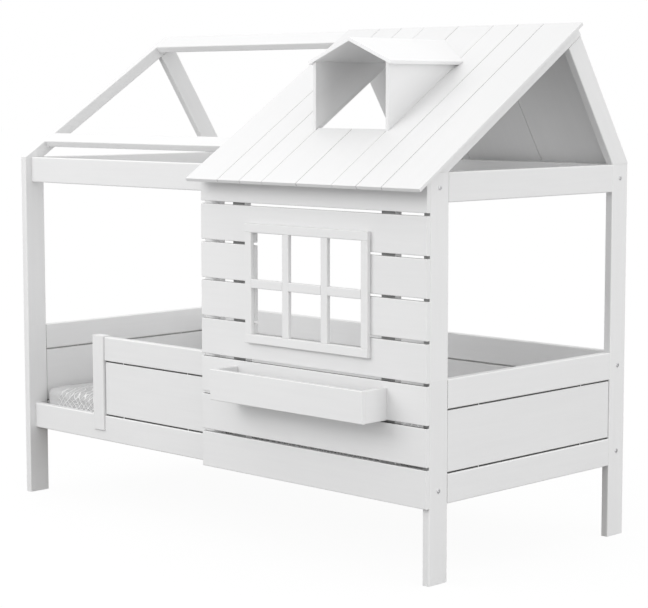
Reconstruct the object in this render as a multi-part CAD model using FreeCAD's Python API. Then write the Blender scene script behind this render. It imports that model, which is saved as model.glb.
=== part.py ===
import FreeCAD
import Part
import math
import os

# White single bed built like a small house, in flat painted timber: a bed box
# with framed panels, four tall posts in two lengths, a gabled frame on top,
# and a boarded play-house front with a window, a planter and a dormer roof.
# Millimetres and degrees. X runs along the bed from the left end's outer face,
# Y from the front posts' faces to the back, and Z up from the floor.

# --- Mattress and sleeping base -------------------------------------------
mattress_length = 2000.0
mattress_width = 900.0
mattress_thickness = 110.0
mattress_end_gap = 7.0          # to the end rails, at each end
mattress_side_gap = 2.0         # to the side rails, at each side
mattress_rest_gap = 0.3         # over the slats
mattress_corner_radius = 60.0   # seen from above, at the widest outline
mattress_top_corner_radius = 20.0  # least radius, where the outline draws in
mattress_edge_roll = 34.0       # how far the top and bottom edges roll in
mattress_waist = 4.0            # how far the sides draw in at mid height
mattress_crown = 5.0            # rise of the top's middle over its edge
mattress_shoulder = 136.0       # how far in the top has nearly its full height
mattress_shoulder_drop = 2.0    # how far the shoulder lies below the middle
mattress_flat_inset = 306.0     # how far in the level middle begins
slat_count = 14
slat_width = 70.0
slat_thickness = 15.0
slat_end_margin = 40.0          # from the end rails to the first slat
slat_side_gap = 2.0             # from a slat's end to the side rail
ledger_depth = 25.0
ledger_height = 28.0
ledger_rise = 3.0               # over the side rails' lower edges
ledger_end_gap = 12.0

# --- Timber sizes -----------------------------------------------------------
timber = 28.0                   # thickness of posts, rails, ties and rafters
post_width = 86.0               # measured across the bed
lower_post_height = 643.0
upper_post_height = 643.0
rail_height = 94.0              # every rail, tie and beam
side_rail_bottom = 250.0
edge_radius = 4.0               # eased long edges of the heavy timber
board_chamfer = 1.8             # bevelled long edges of the thin boards

# --- Framed panels ----------------------------------------------------------
panel_thickness = 22.0
panel_gap = 5.0                 # shadow gap over and under a panel's face
panel_side_gap = 2.5            # shadow gap at each side of it
tongue_thickness = 10.0
groove_depth = 8.0
groove_clearance = 0.2          # at each side of a tongue
tongue_end_gap = 1.0            # from a tongue's end to the groove's floor

# --- Guard at the front left ------------------------------------------------
entry_width = 362.0             # open way in, from the left post to the guard
guard_post_width = 61.0
guard_length = 556.0            # rail and panel, up to the tall stile
guard_rail_height = 88.0
guard_drop = 7.0                # guard's top edge below the posts' seam
guard_post_rise = 4.5           # end post's top over the guard rail's
guard_lap = 8.0                 # end post's lip in front of the side rail
guard_lap_height = 54.0         # how far the lip reaches down the side rail
stile_width = 76.0

# --- Gable frame and roof ---------------------------------------------------
front_pitch = 33.0
ridge_angle = 90.0              # the two slopes meet square at the ridge
back_heel = 9.0                 # upright heel of the back rafters
purlin_offset = 110.0           # up the slope from the front posts' faces
purlin_width = 56.0
ridge_board_width = 79.0
purlin_thickness = 28.0
roof_board_thickness = 12.0
wide_board = 158.0
narrow_board = 107.0
board_order = "WNNWWNNW"        # from the left edge to the right
board_seam = 1.6
seam_bevel = 1.2                # bevels that make a fine groove of each seam
gable_overhang = 36.0           # boards past the right gable
eave_overhang = 85.0            # boards' lower ends in front of the posts
ridge_setback = 12.0            # boards' upper ends below the ridge
back_board_count = 3
back_board_thickness = 16.0
cleat_height = 28.0

# --- Dormer -----------------------------------------------------------------
dormer_front = 161.0            # cheeks' front edges behind the post faces
dormer_ridge_drop = 44.8        # dormer's ridge below the roof's ridge
boards_before_dormer_count = 3  # whole boards left of the dormer
dormer_board_count = 2          # boards that the dormer cuts
dormer_pitch = 22.5
dormer_side_overhang = 18.0     # roof past the cheeks
dormer_front_overhang = 8.0
dormer_board = 12.0
dormer_sill = 10.0              # roof boards end this far inside the cheeks
dormer_back_margin = 3.0        # roof boards begin this far up from the cheeks

# --- House front ------------------------------------------------------------
wall_length = 1030.0            # from the bed's right end
wall_drop = 4.0                 # lowest plank below the side rail
wall_top_gap = 1.0              # nominal height of the wall below the post tops
plank_count = 8
plank_gap = 9.0
plank_thickness = 16.0
roof_clearance = 0.6            # top plank under the roof boards
batten_width = 62.0
batten_left_inset = 142.0       # from the wall's left edge
batten_right_inset = 143.0      # from the wall's right edge
batten_foot_rise = 5.0          # over the side rail's lower edge
window_width = 502.0            # clear opening, centred on the wall
window_height = 340.0
window_bottom = 727.0
frame_width = 30.0
frame_thickness = 16.0
bar_width = 30.0
bar_columns = 3
planter_length = 700.0          # centred on the wall
planter_depth = 112.0
planter_height = 104.0
planter_bottom_height = 506.5
planter_board = 16.0

# --- Bolts that hold the rails between the end frames ------------------------
bolt_head_diameter = 15.0
bolt_head_height = 2.0
bolt_head_chamfer = 0.7
bolt_diameter = 6.0
bolt_clearance = 0.3            # round the shank
bolt_reach = 62.0               # from the post's inner face into the rail

# --- What follows from the sizes above ---------------------------------------
inner_length = mattress_length + 2.0 * mattress_end_gap
inner_width = mattress_width + 2.0 * mattress_side_gap
bed_length = inner_length + 2.0 * timber
rail_setback = (post_width - timber) / 2.0
bed_depth = inner_width + 2.0 * (timber + rail_setback)
left_in = timber
right_in = bed_length - timber
front_rail_y = rail_setback
front_rail_in = front_rail_y + timber
back_rail_in = bed_depth - front_rail_in
back_rail_y = bed_depth - front_rail_y
front_mid = front_rail_y + timber / 2.0
back_mid = bed_depth - front_mid
end_front = post_width
end_back = bed_depth - post_width
left_mid = timber / 2.0
right_mid = bed_length - timber / 2.0
side_rail_top = side_rail_bottom + rail_height
seam_height = lower_post_height
post_top = lower_post_height + upper_post_height
top_rail_bottom = seam_height - rail_height
beam_bottom = post_top - rail_height
ledger_bottom = side_rail_bottom + ledger_rise
ledger_top = ledger_bottom + ledger_height
slat_top = ledger_top + slat_thickness
mattress_bottom = slat_top + mattress_rest_gap
mattress_top = mattress_bottom + mattress_thickness
guard_top = seam_height - guard_drop
guard_rail_bottom = guard_top - guard_rail_height
guard_post_left = left_in + entry_width
guard_left = guard_post_left + guard_post_width
stile_left = guard_left + guard_length
stile_right = stile_left + stile_width
wall_left = bed_length - wall_length
wall_mid = wall_left + wall_length / 2.0
wall_bottom = side_rail_bottom - wall_drop
wall_height = post_top - wall_top_gap - wall_bottom
plank_pitch = (wall_height + plank_gap) / plank_count
plank_height = plank_pitch - plank_gap
window_left = wall_mid - window_width / 2.0
window_right = wall_mid + window_width / 2.0
window_top = window_bottom + window_height
back_pitch = 180.0 - ridge_angle - front_pitch
slope = math.tan(math.radians(front_pitch))
slope_cos = math.cos(math.radians(front_pitch))
slope_sin = math.sin(math.radians(front_pitch))
back_slope = math.tan(math.radians(back_pitch))
ridge_y = (back_heel + back_slope * bed_depth) / (slope + back_slope)
ridge_z = post_top + slope * ridge_y
ridge_run = ridge_y / slope_cos                 # along the front slope
front_rafter_depth = post_width * slope_sin
back_rafter_depth = (post_width * back_slope + back_heel) * math.cos(math.radians(back_pitch))
roof_right = bed_length + gable_overhang
board_widths = [wide_board if letter == "W" else narrow_board for letter in board_order]
roof_left = roof_right - sum(board_widths)
board_edges = [roof_left + sum(board_widths[:k]) for k in range(len(board_widths) + 1)]
first_cut = boards_before_dormer_count
after_cut = first_cut + dormer_board_count
dormer_left = board_edges[first_cut]
dormer_right = board_edges[after_cut]
dormer_mid = (dormer_left + dormer_right) / 2.0
roof_face_rise = roof_board_thickness / slope_cos  # roof's top face over the rafters' line, upright
far = 4.0 * bed_length                          # size of a cutting block that clears the bed
arc_middle = 1.0 - math.sqrt(0.5)               # a quarter circle's middle lies this share of its radius in

along_x = FreeCAD.Vector(1, 0, 0)
along_y = FreeCAD.Vector(0, 1, 0)
along_z = FreeCAD.Vector(0, 0, 1)
along_slope = FreeCAD.Vector(0, slope_cos, slope_sin)
back_fall = FreeCAD.Vector(0, slope_sin, -slope_cos)


def block(x0, x1, y0, y1, z0, z1):
    """A plain box between two corners."""
    return Part.makeBox(x1 - x0, y1 - y0, z1 - z0, FreeCAD.Vector(x0, y0, z0))


def edges_along(shape, direction):
    """The edges that run along the direction."""
    least_cosine = 0.9999
    chosen = []
    for edge in shape.Edges:
        run = edge.Vertexes[-1].Point - edge.Vertexes[0].Point
        run.normalize()
        if abs(run.dot(direction)) > least_cosine:
            chosen.append(edge)
    return chosen


def ease(shape, direction, radius):
    """Round every edge that runs along the direction."""
    return shape.makeFillet(radius, edges_along(shape, direction))


def bevel(shape, direction, size):
    """Cut a flat bevel on every edge that runs along the direction."""
    return shape.makeChamfer(size, edges_along(shape, direction))


def prism(points, push):
    """A polygon of corner points pushed along a vector."""
    corners = [FreeCAD.Vector(*point) for point in points]
    face = Part.Face(Part.makePolygon(corners + corners[:1]))
    return face.extrude(push)


def timber_bar(x0, x1, y0, y1, z0, z1, direction):
    """Heavy timber with its long edges eased."""
    return ease(block(x0, x1, y0, y1, z0, z1), direction, edge_radius)


def thin_board(x0, x1, y0, y1, z0, z1, direction):
    """Thin board with its long edges bevelled."""
    return bevel(block(x0, x1, y0, y1, z0, z1), direction, board_chamfer)


def in_line(run0, run1, mid, thickness, z0, z1, direction):
    """A box along X or along Y, centred across on mid."""
    half = thickness / 2.0
    if direction is along_x:
        return block(run0, run1, mid - half, mid + half, z0, z1)
    return block(mid - half, mid + half, run0, run1, z0, z1)


def framed_panel(run0, run1, mid, z0, z1, direction):
    """Panel with a shadow gap round its face and a tongue into the frame; it rests in the lower groove."""
    face = in_line(run0 + panel_side_gap, run1 - panel_side_gap, mid, panel_thickness,
                   z0 + panel_gap, z1 - panel_gap, direction)
    face = bevel(face, direction, board_chamfer)
    reach = groove_depth - tongue_end_gap
    tongue = in_line(run0 - reach, run1 + reach, mid, tongue_thickness,
                     z0 - groove_depth, z1 + reach, direction)
    return face.fuse(tongue)


def panel_groove(run0, run1, mid, z0, z1, direction):
    """What the grooves round one panel take out of its frame."""
    return in_line(run0 - groove_depth, run1 + groove_depth, mid, tongue_thickness + 2.0 * groove_clearance,
                   z0 - groove_depth, z1 + groove_depth, direction)


def cylinder_x(diameter, x0, x1, y, z):
    """A round bar along X."""
    return Part.makeCylinder(diameter / 2.0, x1 - x0, FreeCAD.Vector(x0, y, z), along_x)


def slope_block(x0, x1, run0, run1, lift0, lift1):
    """A box on the front slope: run goes up the slope, lift square to it from the rafters' outer line."""
    shape = block(x0, x1, run0, run1, lift0, lift1)
    shape.rotate(FreeCAD.Vector(0, 0, 0), along_x, front_pitch)
    shape.translate(FreeCAD.Vector(0, 0, post_top))
    return shape


def slope_point(x, run, lift):
    """The point that slope_block's run and lift give."""
    y = run * slope_cos - lift * slope_sin
    z = post_top + run * slope_sin + lift * slope_cos
    return (x, y, z)


def mirrored(shape):
    """The same piece at the bed's other end."""
    return shape.mirror(FreeCAD.Vector(bed_length / 2.0, 0, 0), along_x)


def cut_away(shape, cutters):
    """Cut each cutter that reaches the shape."""
    for cutter in cutters:
        if shape.BoundBox.intersect(cutter.BoundBox):
            shape = shape.cut(cutter)
    return shape


# The bolts: where each one passes through a post into a rail, at both ends.
bolt_rows = [
    (front_mid, side_rail_bottom + rail_height / 2.0),
    (back_mid, side_rail_bottom + rail_height / 2.0),
    (back_mid, top_rail_bottom + rail_height / 2.0),
    (front_mid, beam_bottom + rail_height / 2.0),
    (back_mid, beam_bottom + rail_height / 2.0),
]


def bolt_at(y, z):
    """Bolt at the left end, its head on the post's outer face."""
    head = cylinder_x(bolt_head_diameter, -bolt_head_height, 0, y, z)
    rim = [edge for edge in head.Edges if edge.BoundBox.XMax < -bolt_head_height / 2.0]
    head = head.makeChamfer(bolt_head_chamfer, rim)
    return head.fuse(cylinder_x(bolt_diameter, 0, left_in + bolt_reach, y, z))


def bolt_hole(y, z):
    """What one bolt's shank takes out of the post and the rail."""
    return cylinder_x(bolt_diameter + 2.0 * bolt_clearance, 0, left_in + bolt_reach + bolt_clearance, y, z)


left_holes = [bolt_hole(y, z) for y, z in bolt_rows]
all_holes = left_holes + [mirrored(hole) for hole in left_holes]

# The grooves: one cutter for each framed panel, shared by all that it touches.
head_groove = panel_groove(end_front, end_back, left_mid, side_rail_top, top_rail_bottom, along_y)
foot_groove = panel_groove(end_front, end_back, right_mid, side_rail_top, top_rail_bottom, along_y)
back_groove = panel_groove(left_in, right_in, back_mid, side_rail_top, top_rail_bottom, along_x)
guard_groove = panel_groove(guard_left, stile_left, front_mid, side_rail_top, guard_rail_bottom, along_x)
all_grooves = [head_groove, foot_groove, back_groove, guard_groove]

parts = {}


def keep(name, shape, cutters=()):
    """Store one named piece, with its grooves and holes cut."""
    parts[name] = cut_away(shape, cutters)


# --- Posts: each stands in two lengths, with the seam level with the rails ---
for end_name, x0 in (("left", 0.0), ("right", right_in)):
    for side_name, y0 in (("front", 0.0), ("back", end_back)):
        lower = timber_bar(x0, x0 + timber, y0, y0 + post_width, 0, seam_height, along_z)
        upper = timber_bar(x0, x0 + timber, y0, y0 + post_width, seam_height, post_top, along_z)
        keep("post_" + side_name + "_" + end_name + "_lower", lower, all_grooves[:3] + all_holes)
        keep("post_" + side_name + "_" + end_name + "_upper", upper, all_holes)

# --- End frames: head at the left, foot at the right --------------------------
for end_name, x0, mid in (("head", 0.0, left_mid), ("foot", right_in, right_mid)):
    low = timber_bar(x0, x0 + timber, end_front, end_back, side_rail_bottom, side_rail_top, along_y)
    high = timber_bar(x0, x0 + timber, end_front, end_back, top_rail_bottom, seam_height, along_y)
    keep(end_name + "_bottom_rail", low, all_grooves)
    keep(end_name + "_top_rail", high, all_grooves)
    panel = framed_panel(end_front, end_back, mid, side_rail_top, top_rail_bottom, along_y)
    keep(end_name + "_panel", panel)

# --- Back side and front side rail ----------------------------------------------
back_low = timber_bar(left_in, right_in, back_rail_in, back_rail_y, side_rail_bottom, side_rail_top, along_x)
back_high = timber_bar(left_in, right_in, back_rail_in, back_rail_y, top_rail_bottom, seam_height, along_x)
front_low = timber_bar(left_in, right_in, front_rail_y, front_rail_in,
                       side_rail_bottom, side_rail_top, along_x)
keep("back_bottom_rail", back_low, [back_groove] + all_holes)
keep("back_top_rail", back_high, [back_groove] + all_holes)
keep("back_panel", framed_panel(left_in, right_in, back_mid, side_rail_top, top_rail_bottom, along_x))
keep("front_side_rail", front_low, [guard_groove] + all_holes)

# --- Guard: end post lapped over the side rail, rail, panel, and the tall stile ---
guard_rail = timber_bar(guard_left, stile_left, front_rail_y, front_rail_in,
                        guard_rail_bottom, guard_top, along_x)
keep("guard_top_rail", guard_rail, [guard_groove])
guard_panel = framed_panel(guard_left, stile_left, front_mid, side_rail_top, guard_rail_bottom, along_x)
keep("guard_panel", guard_panel)
end_post = timber_bar(guard_post_left, guard_left, front_rail_y - guard_lap, front_rail_in,
                      side_rail_top - guard_lap_height, guard_top + guard_post_rise, along_z)
rail_seat = block(guard_post_left, guard_left, front_rail_y, front_rail_in,
                  side_rail_top - guard_lap_height, side_rail_top)
keep("guard_end_post", end_post, [rail_seat, guard_groove])
stile = timber_bar(stile_left, stile_right, front_rail_y, front_rail_in, side_rail_top, beam_bottom, along_z)
keep("front_stile", stile, [guard_groove])

# --- Slats on their ledgers --------------------------------------------------
ledgers = []
for y0 in (front_rail_in, back_rail_in - ledger_depth):
    ledgers.append(thin_board(left_in + ledger_end_gap, right_in - ledger_end_gap, y0, y0 + ledger_depth,
                              ledger_bottom, ledger_top, along_x))
keep("slat_ledgers", Part.makeCompound(ledgers))
slats = []
slat_run = inner_length - 2.0 * slat_end_margin - slat_width
for k in range(slat_count):
    x0 = left_in + slat_end_margin + k * slat_run / (slat_count - 1)
    slats.append(thin_board(x0, x0 + slat_width, front_rail_in + slat_side_gap, back_rail_in - slat_side_gap,
                            ledger_top, slat_top, along_y))
keep("slats", Part.makeCompound(slats))


# --- Mattress: rolled edges, sides drawn in at the waist, a crowned top ---------
def mattress_ring(inset, z):
    """Rounded rectangle of lines and arcs, set in from the mattress outline."""
    x0 = left_in + mattress_end_gap + inset
    x1 = right_in - mattress_end_gap - inset
    y0 = front_rail_in + mattress_side_gap + inset
    y1 = back_rail_in - mattress_side_gap - inset
    radius = max(mattress_corner_radius - inset / 2.0, mattress_top_corner_radius)
    bend = radius * arc_middle
    edges = []
    corners = [(x1, y0, -1, 1), (x1, y1, -1, -1), (x0, y1, 1, -1), (x0, y0, 1, 1)]
    ends = []
    for x, y, sx, sy in corners:
        along = FreeCAD.Vector(x + sx * radius, y, z)
        across = FreeCAD.Vector(x, y + sy * radius, z)
        middle = FreeCAD.Vector(x + sx * bend, y + sy * bend, z)
        ends.append((along, middle, across))
    order = [ends[0], ends[1][::-1], ends[2], ends[3][::-1]]
    for k, (first, middle, last) in enumerate(order):
        edges.append(Part.Arc(first, middle, last).toShape())
        edges.append(Part.LineSegment(last, order[(k + 1) % len(order)][0]).toShape())
    return Part.Wire(edges)


roll = mattress_edge_roll
roll_middle = roll * arc_middle
mattress_edge_top = mattress_top - mattress_crown
mattress_rings = [
    mattress_ring(roll, mattress_bottom),
    mattress_ring(roll_middle, mattress_bottom + roll_middle),
    mattress_ring(0.0, mattress_bottom + roll),
    mattress_ring(mattress_waist, mattress_bottom + mattress_thickness / 2.0),
    mattress_ring(0.0, mattress_edge_top - roll),
    mattress_ring(roll_middle, mattress_edge_top - roll_middle),
    mattress_ring(roll, mattress_edge_top),
    mattress_ring(mattress_shoulder, mattress_top - mattress_shoulder_drop),
    mattress_ring(mattress_flat_inset, mattress_top),
]
keep("mattress", Part.makeLoft(mattress_rings, True, True))

# --- Gable frame: beams, ties, rafters, purlin and ridge board -------------------
top_front = timber_bar(left_in, right_in, front_rail_y, front_rail_in, beam_bottom, post_top, along_x)
top_back = timber_bar(left_in, right_in, back_rail_in, back_rail_y, beam_bottom, post_top, along_x)
keep("top_beam_front", top_front, all_holes)
keep("top_beam_back", top_back, all_holes)
ridge_corner = (0, ridge_y, ridge_z)
under_ridge = slope_point(0, ridge_run, -front_rafter_depth)
seam_end = slope_point(0, ridge_run - back_rafter_depth, -front_rafter_depth)
front_rafter_profile = [(0, 0, post_top), ridge_corner, under_ridge, (0, post_width, post_top)]
back_rafter_profile = [under_ridge, (0, bed_depth, post_top + back_heel), (0, bed_depth, post_top),
                       (0, end_back, post_top), seam_end]
for end_name, x0 in (("left", 0.0), ("right", right_in)):
    tie = timber_bar(x0, x0 + timber, end_front, end_back, beam_bottom, post_top, along_y)
    keep("gable_tie_" + end_name, tie)
    front_rafter = ease(prism(front_rafter_profile, timber * along_x), along_slope, edge_radius)
    back_rafter = ease(prism(back_rafter_profile, timber * along_x), back_fall, edge_radius)
    front_rafter.translate(FreeCAD.Vector(x0, 0, 0))
    back_rafter.translate(FreeCAD.Vector(x0, 0, 0))
    keep("rafter_front_" + end_name, front_rafter)
    keep("rafter_back_" + end_name, back_rafter)
purlin = slope_block(left_in, right_in, purlin_offset, purlin_offset + purlin_width, -purlin_thickness, 0)
keep("purlin", ease(purlin, along_x, edge_radius))
ridge_board = slope_block(left_in, right_in, ridge_run - ridge_board_width, ridge_run, -purlin_thickness, 0)
keep("ridge_board", ease(ridge_board, along_x, edge_radius))

# --- Dormer: where its roof and cheeks meet the main roof -------------------------
dormer_slope = math.tan(math.radians(dormer_pitch))
dormer_cos = math.cos(math.radians(dormer_pitch))
dormer_sin = math.sin(math.radians(dormer_pitch))
cheek_foot = post_top + roof_face_rise + slope * dormer_front
dormer_ridge = ridge_z - dormer_ridge_drop
dormer_under = dormer_ridge - dormer_board / dormer_cos
dormer_half = dormer_right - dormer_mid + dormer_board + dormer_side_overhang
cheek_top = dormer_under - dormer_slope * (dormer_right - dormer_mid)
cheek_tip_y = (cheek_top - post_top - roof_face_rise) / slope
cut_front_run = (dormer_front + dormer_sill + roof_board_thickness * slope_sin) / slope_cos
cut_back_run = (cheek_tip_y + dormer_back_margin + roof_board_thickness * slope_sin) / slope_cos

# --- Front slope: boards on the purlin, the ridge board and the right rafter -------
eave_run = -eave_overhang / slope_cos
top_run = ridge_run - ridge_setback


def roof_board(index, run0, run1):
    """One board of the front slope, between two runs."""
    board = slope_block(board_edges[index] + board_seam / 2.0, board_edges[index + 1] - board_seam / 2.0,
                        run0, run1, 0, roof_board_thickness)
    return bevel(board, along_slope, seam_bevel)


left_boards = [roof_board(k, eave_run, top_run) for k in range(first_cut)]
right_boards = [roof_board(k, eave_run, top_run) for k in range(after_cut, len(board_widths))]
cut_boards = []
for k in range(first_cut, after_cut):
    cut_boards.append(roof_board(k, eave_run, cut_front_run))
    cut_boards.append(roof_board(k, cut_back_run, top_run))
keep("roof_boards_left", Part.makeCompound(left_boards))
keep("roof_boards_dormer", Part.makeCompound(cut_boards))
keep("roof_boards_right", Part.makeCompound(right_boards))

# --- Back slope: wide boards flush with the back rafters, on a cleat ---------------
back_upper = slope_point(0, ridge_run, -purlin_thickness)
back_upper_in = slope_point(0, ridge_run - back_board_thickness, -purlin_thickness)
back_foot_in = (0, bed_depth + back_heel / back_slope - back_board_thickness / slope_cos, post_top)
back_profile = [back_upper, (0, bed_depth, post_top + back_heel), (0, bed_depth, post_top),
                back_foot_in, back_upper_in]
back_width = (right_in - wall_left) / back_board_count
back_boards = []
for k in range(back_board_count):
    board = prism(back_profile, (back_width - board_seam) * along_x)
    board = bevel(board, back_fall, seam_bevel)
    board.translate(FreeCAD.Vector(wall_left + k * back_width + board_seam, 0, 0))
    back_boards.append(board)
keep("roof_back_boards", Part.makeCompound(back_boards))
cleat = thin_board(wall_left, right_in, back_rail_y, bed_depth, post_top - cleat_height, post_top, along_x)
keep("roof_back_cleat", cleat)

# --- Dormer pieces -----------------------------------------------------------------
below_roof = slope_block(-far, far, -far, far, -far, roof_board_thickness)
cheek_ridge_y = (dormer_ridge - post_top - roof_face_rise) / slope
cheek_profile = [(0, dormer_front, cheek_foot), (0, cheek_tip_y, cheek_top), (0, dormer_front, cheek_top)]
left_cheek = prism(cheek_profile, dormer_board * along_x)
left_cheek.translate(FreeCAD.Vector(dormer_left - dormer_board, 0, 0))
eave_x = dormer_mid - dormer_half
eave_top = dormer_ridge - dormer_slope * dormer_half
roof_front_y = dormer_front - dormer_front_overhang
roof_profile = [
    (dormer_mid, roof_front_y, dormer_ridge),
    (eave_x, roof_front_y, eave_top),
    (eave_x + dormer_board * dormer_sin, roof_front_y, eave_top - dormer_board * dormer_cos),
    (dormer_mid, roof_front_y, dormer_under),
]
left_roof = prism(roof_profile, (cheek_ridge_y - roof_front_y + post_width) * along_y)
above_left_roof = prism([
    (dormer_mid, 0, dormer_under),
    (dormer_mid - dormer_half, 0, dormer_under - dormer_slope * dormer_half),
    (dormer_mid - dormer_half, 0, dormer_under),
], bed_depth * along_y)
left_cheek = left_cheek.cut(above_left_roof)
left_roof = left_roof.cut(below_roof)


def across_dormer(shape):
    """The same piece at the dormer's other side."""
    return shape.mirror(FreeCAD.Vector(dormer_mid, 0, 0), along_x)


keep("dormer_cheek_left", left_cheek)
keep("dormer_cheek_right", across_dormer(left_cheek))
keep("dormer_roof_left", left_roof)
keep("dormer_roof_right", across_dormer(left_roof))

# --- House front: planks on two battens, notched round the window ------------------
wall_limit = post_top - slope * plank_thickness - roof_clearance
window_hole = block(window_left, window_right, -far, front_rail_y, window_bottom, window_top)
for k in range(plank_count):
    z0 = wall_bottom + k * plank_pitch
    z1 = min(z0 + plank_height, wall_limit)
    plank = thin_board(wall_left, bed_length, -plank_thickness, 0, z0, z1, along_x)
    keep("wall_plank_" + str(k + 1), plank, [window_hole])
batten_bottom = side_rail_bottom + batten_foot_rise
left_batten_x = wall_left + batten_left_inset
right_batten_x = bed_length - batten_right_inset - batten_width
for end_name, x0 in (("left", left_batten_x), ("right", right_batten_x)):
    batten = timber_bar(x0, x0 + batten_width, 0, front_rail_y, batten_bottom, wall_limit, along_z)
    keep("wall_batten_" + end_name, batten)

# --- Window: four frame members on the wall and halved bars between them -----------
frame_back = -plank_thickness
frame_front = frame_back - frame_thickness
members = []
for z0 in (window_bottom - frame_width, window_top):
    members.append(thin_board(window_left - frame_width, window_right + frame_width,
                              frame_front, frame_back, z0, z0 + frame_width, along_x))
for x0 in (window_left - frame_width, window_right):
    members.append(thin_board(x0, x0 + frame_width, frame_front, frame_back,
                              window_bottom, window_top, along_z))
keep("window_frame", Part.makeCompound(members))
pane_width = (window_width - (bar_columns - 1) * bar_width) / bar_columns
cross_bottom = window_bottom + (window_height - bar_width) / 2.0
half_lap = frame_front + frame_thickness / 2.0
cross_bar = thin_board(window_left, window_right, frame_front, frame_back,
                       cross_bottom, cross_bottom + bar_width, along_x)
bars = []
for k in range(bar_columns - 1):
    x0 = window_left + (k + 1) * pane_width + k * bar_width
    upright = thin_board(x0, x0 + bar_width, frame_front, frame_back, window_bottom, window_top, along_z)
    rear_lap = block(x0 - far, x0 + far, half_lap, frame_back, cross_bottom, cross_bottom + bar_width)
    front_lap = block(x0, x0 + bar_width, frame_front, half_lap, cross_bottom, cross_bottom + bar_width)
    bars.append(upright.cut(rear_lap))
    cross_bar = cross_bar.cut(front_lap)
bars.append(cross_bar)
keep("window_bars", Part.makeCompound(bars))

# --- Planter: an open trough whose back is the house front --------------------------
planter_left = wall_mid - planter_length / 2.0
planter_right = wall_mid + planter_length / 2.0
planter_front_y = -plank_thickness - planter_depth
planter_top = planter_bottom_height + planter_height
planter_inner_y = planter_front_y + planter_board
keep("planter_front", thin_board(planter_left, planter_right, planter_front_y, planter_inner_y,
                                 planter_bottom_height, planter_top, along_x))
planter_ends = []
for x0 in (planter_left, planter_right - planter_board):
    planter_ends.append(thin_board(x0, x0 + planter_board, planter_inner_y, -plank_thickness,
                                   planter_bottom_height, planter_top, along_y))
keep("planter_ends", Part.makeCompound(planter_ends))
keep("planter_bottom", block(planter_left + planter_board, planter_right - planter_board,
                             planter_inner_y, -plank_thickness,
                             planter_bottom_height, planter_bottom_height + planter_board))

# --- Bolts ----------------------------------------------------------------------------
bolts = [bolt_at(y, z) for y, z in bolt_rows]
keep("frame_bolts", Part.makeCompound(bolts + [mirrored(bolt) for bolt in bolts]))

# The part's own origin lies on the floor, under the middle of the whole bed.
whole_left = -bolt_head_height
whole_right = roof_right - board_seam / 2.0
whole_front = planter_front_y
whole_back = bed_depth
to_origin = FreeCAD.Vector(-(whole_left + whole_right) / 2.0, -(whole_front + whole_back) / 2.0, 0)

os.makedirs("parts", exist_ok=True)
for name, shape in parts.items():
    shape.translate(to_origin)
    shape.exportStep("parts/" + name + ".step")
    if not shape.isValid():
        print("not valid:", name)
print("pieces:", len(parts))
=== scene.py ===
import math
import random

import bmesh
import bpy
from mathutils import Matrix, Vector


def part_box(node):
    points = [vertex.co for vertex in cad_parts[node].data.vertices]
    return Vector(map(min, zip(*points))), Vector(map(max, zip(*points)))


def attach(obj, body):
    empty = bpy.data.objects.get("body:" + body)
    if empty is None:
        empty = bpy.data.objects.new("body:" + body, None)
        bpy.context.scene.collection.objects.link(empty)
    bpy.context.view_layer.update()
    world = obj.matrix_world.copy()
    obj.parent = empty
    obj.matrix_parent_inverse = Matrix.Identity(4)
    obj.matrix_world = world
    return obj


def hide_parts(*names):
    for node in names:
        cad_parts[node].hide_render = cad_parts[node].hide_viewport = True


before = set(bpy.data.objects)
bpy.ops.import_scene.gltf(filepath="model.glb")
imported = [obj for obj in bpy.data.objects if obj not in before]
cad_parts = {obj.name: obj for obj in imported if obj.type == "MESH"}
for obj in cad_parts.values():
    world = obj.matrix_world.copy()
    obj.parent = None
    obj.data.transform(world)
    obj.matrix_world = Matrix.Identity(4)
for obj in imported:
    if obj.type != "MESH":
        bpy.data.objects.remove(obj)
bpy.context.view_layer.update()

# ---------------------------------------------------------------------------
# The studio: the photo's camera, an even white surround and three soft lamps,
# one high at the front left that casts the eave's shadow, one that faces the
# foot end, and a weak low one. The floor throws back less light than it shows.
# ---------------------------------------------------------------------------
IMAGE_WIDTH = 648
IMAGE_HEIGHT = 608
FOCAL_PIXELS = 1894.0                      # focal length in pixels of that frame
OPTICAL_CENTRE = (346.39, 292.31)          # pixel that the lens looks straight at
CAMERA_PLACE = Vector((4.8289, -4.76735, 1.52376))
CAMERA_LOOK = Vector((-0.690202, 0.716083, -0.104144))
SENSOR_WIDTH = 36.0
WHITE = (1, 1, 1, 1)
SURROUND_STRENGTH = 1.12
FRONT_WATTS = 67.0
FOOT_WATTS = 176.0
LOW_WATTS = 3.0
FLOOR_BOUNCE = (0.29, 0.29, 0.29, 1)       # floor colour for the light
FLOOR_COLOUR = (0.92, 0.92, 0.92, 1)       # floor colour for the camera
FLOOR_SHADOW_SHARE = 0.05                  # how much of the floor's shading the camera sees
FLOOR_REACH = 60.0


def put(tree, kind, inputs=None, **settings):
    """A new node in a tree; each input, by name or number, gets a value or another node's output."""
    node = tree.nodes.new(kind)
    for setting, value in settings.items():
        setattr(node, setting, value)
    for socket, value in (inputs or {}).items():
        if isinstance(value, bpy.types.NodeSocket):
            tree.links.new(value, node.inputs[socket])
        else:
            node.inputs[socket].default_value = value
    return node


def new_material(name):
    """An empty node material and its tree."""
    material = bpy.data.materials.new(name)
    material.use_nodes = True
    material.node_tree.nodes.clear()
    return material, material.node_tree


def linked_piece(name, data):
    """A new object in the scene."""
    piece = bpy.data.objects.new(name, data)
    bpy.context.scene.collection.objects.link(piece)
    return piece


def aim(place, target):
    """A rotation that looks from one point at another."""
    return (target - place).to_track_quat("-Z", "Y").to_euler()


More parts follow.
